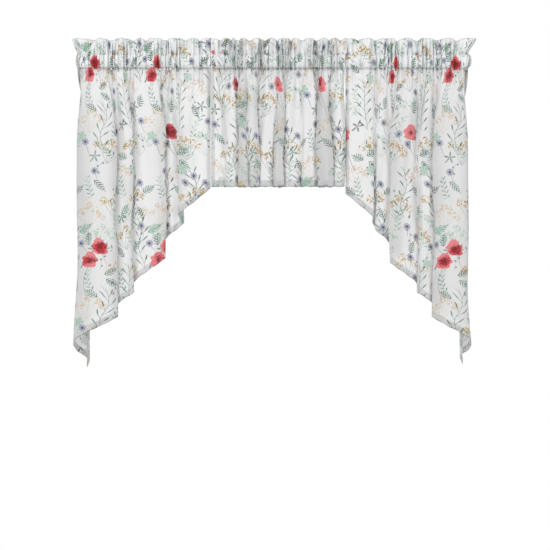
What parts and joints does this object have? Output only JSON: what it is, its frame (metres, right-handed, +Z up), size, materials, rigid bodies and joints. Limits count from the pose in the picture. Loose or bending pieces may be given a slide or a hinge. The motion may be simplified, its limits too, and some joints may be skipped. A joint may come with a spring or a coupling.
{
  "type": "rod pocket window valance set",
  "caption": "Gathered window valance of thin printed cloth: a swag on each side and a straight insert between them, all hung by rod pockets.",
  "frame": {"origin": "on the axis of the rod pockets, a little left of the middle of the centre valance", "axes": "+X runs along the rod to the right as seen from the room, +Y points to the window, +Z is up"},
  "size_m": [1.12, 0.0701, 0.9164],
  "materials": {
    "cloth": "thin white cloth with a wildflower print, matt"
  },
  "bodies": {
    "root": {"heading_left": "cloth", "heading_centre": "cloth", "heading_right": "cloth", "swag_left": "cloth", "valance_centre": "cloth", "swag_right": "cloth"}
  },
  "joints": []
}
